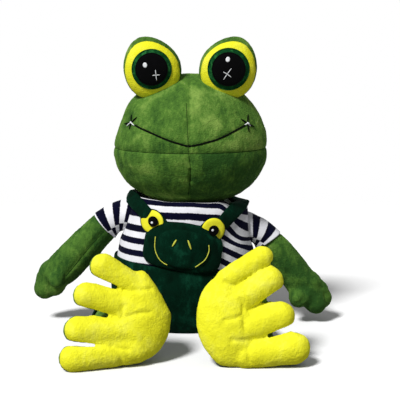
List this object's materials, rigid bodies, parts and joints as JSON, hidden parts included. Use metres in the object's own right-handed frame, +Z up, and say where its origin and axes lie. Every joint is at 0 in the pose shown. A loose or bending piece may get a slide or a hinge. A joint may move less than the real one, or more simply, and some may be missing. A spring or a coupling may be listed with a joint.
{
  "type": "plush frog",
  "caption": "Seated stuffed frog with raised eye pods, bent arms, long-toed feet, striped shirt and bib overalls with a frog-faced bib.",
  "frame": {"origin": "middle of the flat seat, on the surface it sits on", "axes": "+Z up, -Y the way the toy faces, +X the toy's own left"},
  "size_m": [0.3236, 0.2438, 0.3007],
  "materials": {
    "green_plush": "soft pile plush",
    "yellow_plush": "soft pile plush",
    "green_velour": "short velour",
    "striped_jersey": "navy and white striped knit",
    "yellow_felt": "short nap",
    "iris_felt": "short nap",
    "black_felt": "short nap",
    "fibre": "loose polyester fibre",
    "pellets": "plastic pellets in a cloth bag"
  },
  "bodies": {
    "torso": {"torso_skin": "green_plush", "torso_stuffing": "fibre", "pellet_bag": "pellets", "shirt_body": "striped_jersey", "overalls_trousers": "green_velour", "overalls_bib": "green_velour", "bib_muzzle": "green_velour", "bib_eye_left": "yellow_felt", "bib_pupil_left": "black_felt", "strap_left": "green_velour", "bib_eye_right": "yellow_felt", "bib_pupil_right": "black_felt", "strap_right": "green_velour"},
    "neck": {"neck_plug": "fibre"},
    "head": {"head_upper_skin": "green_plush", "head_lower_skin": "green_plush", "head_stuffing": "fibre", "eye_pod_left": "green_plush", "eye_front_left": "yellow_plush", "eye_iris_left": "iris_felt", "eye_pupil_left": "black_felt", "eye_stuffing_left": "fibre", "eye_pod_right": "green_plush", "eye_front_right": "yellow_plush", "eye_iris_right": "iris_felt", "eye_pupil_right": "black_felt", "eye_stuffing_right": "fibre"},
    "arm_left": {"arm_skin_left": "green_plush", "arm_stuffing_left": "fibre", "sleeve_left": "striped_jersey"},
    "leg_left": {"leg_skin_left": "green_plush", "leg_stuffing_left": "fibre", "trouser_leg_left": "green_velour"},
    "foot_left": {"foot_sole_left": "yellow_plush", "foot_instep_left": "green_plush", "foot_stuffing_left": "fibre"},
    "arm_right": {"arm_skin_right": "green_plush", "arm_stuffing_right": "fibre", "sleeve_right": "striped_jersey"},
    "leg_right": {"leg_skin_right": "green_plush", "leg_stuffing_right": "fibre", "trouser_leg_right": "green_velour"},
    "foot_right": {"foot_sole_right": "yellow_plush", "foot_instep_right": "green_plush", "foot_stuffing_right": "fibre"}
  },
  "joints": [
    {"name": "neck_nod", "type": "hinge", "parent": "torso", "child": "neck", "pos_m": [0.00757, 0, 0.12652], "axis": [1, 0, 0], "range_deg": [-5, 4], "stiffness_Nm_per_rad": 1},
    {"name": "neck_turn", "type": "hinge", "parent": "neck", "child": "head", "pos_m": [0.00757, 0, 0.12652], "axis": [0, 0, 1], "range_deg": [-25, 25], "stiffness_Nm_per_rad": 1},
    {"name": "shoulder_left", "type": "hinge", "parent": "torso", "child": "arm_left", "pos_m": [0.06803, 0, 0.10617], "axis": [-0.9925, 0, -0.1219], "range_deg": [-45, 100], "stiffness_Nm_per_rad": 0.05},
    {"name": "hip_left", "type": "hinge", "parent": "torso", "child": "leg_left", "pos_m": [0.056, -0.046, 0.022], "axis": [1, 0, 0], "range_deg": [-22, 25], "stiffness_Nm_per_rad": 0.3},
    {"name": "ankle_left", "type": "hinge", "parent": "leg_left", "child": "foot_left", "pos_m": [0.062, -0.13, 0.027], "axis": [0, 0, 1], "range_deg": [-18, 18], "stiffness_Nm_per_rad": 0.15},
    {"name": "shoulder_right", "type": "hinge", "parent": "torso", "child": "arm_right", "pos_m": [-0.0555, 0, 0.11698], "axis": [-0.9563, 0, 0.2924], "range_deg": [-45, 100], "stiffness_Nm_per_rad": 0.05},
    {"name": "hip_right", "type": "hinge", "parent": "torso", "child": "leg_right", "pos_m": [-0.056, -0.046, 0.022], "axis": [1, 0, 0], "range_deg": [-22, 25], "stiffness_Nm_per_rad": 0.3},
    {"name": "ankle_right", "type": "hinge", "parent": "leg_right", "child": "foot_right", "pos_m": [-0.062, -0.13, 0.027], "axis": [0, 0, 1], "range_deg": [-18, 18], "stiffness_Nm_per_rad": 0.15}
  ]
}
